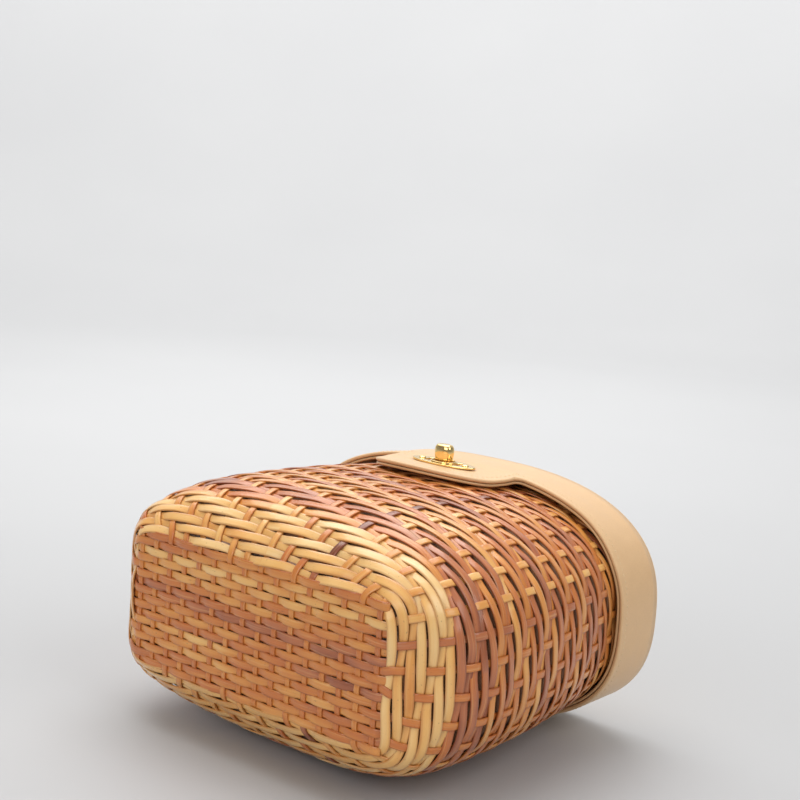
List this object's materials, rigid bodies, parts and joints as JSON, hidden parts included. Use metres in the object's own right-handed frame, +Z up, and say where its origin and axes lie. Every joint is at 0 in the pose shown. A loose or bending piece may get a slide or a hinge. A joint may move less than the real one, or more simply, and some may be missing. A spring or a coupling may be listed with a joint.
{
  "type": "woven cane box bag",
  "caption": "Handbag with a woven cane basket, a hinged leather lid and a leather tongue held by a turn lock, lying on its back.",
  "frame": {"origin": "under the middle of the bag's bounding box, on the surface that it lies on", "axes": "+X to the bag's right, +Y from the woven base to the lid's top, +Z up, out of the bag's front"},
  "size_m": [0.186, 0.157, 0.1184],
  "materials": {
    "cane": "split cane, glossy, honey to red-brown",
    "leather": "smooth beige leather, satin",
    "lining": "plain woven cloth",
    "brass": "polished pale gold plating"
  },
  "bodies": {
    "basket": {"basket_base": "cane", "basket_sides": "cane", "basket_lining": "lining", "rim_binding": "leather", "hinge_strap": "leather", "lock_base": "brass", "lock_backplate": "brass", "base_rivet_left": "brass", "base_rivet_right": "brass"},
    "lid": {"lid_top": "leather", "lid_band": "leather", "band_lining": "leather", "lid_lining": "lining"},
    "tongue": {"tongue_outer": "leather", "tongue_lining": "leather", "lock_plate": "brass", "plate_rivet_left": "brass", "plate_rivet_right": "brass"},
    "knob": {"turn_knob": "brass", "knob_retainer": "brass"}
  },
  "joints": [
    {"name": "lid_hinge", "type": "hinge", "parent": "basket", "child": "lid", "pos_m": [0, 0.0485, 0.0007], "axis": [-1, 0, 0], "range_deg": [0, 95], "deforming": ["tongue_outer", "tongue_lining", "lock_plate", "plate_rivet_left", "plate_rivet_right"]},
    {"name": "tongue_lift", "type": "hinge", "parent": "lid", "child": "tongue", "pos_m": [0, 0.0485, 0.1084], "axis": [-1, 0, 0], "range_deg": [0, 70]},
    {"name": "knob_turn", "type": "hinge", "parent": "basket", "child": "knob", "pos_m": [0, 0.0375, 0.1102], "axis": [0, 0, 1], "range_deg": [0, 90]}
  ]
}
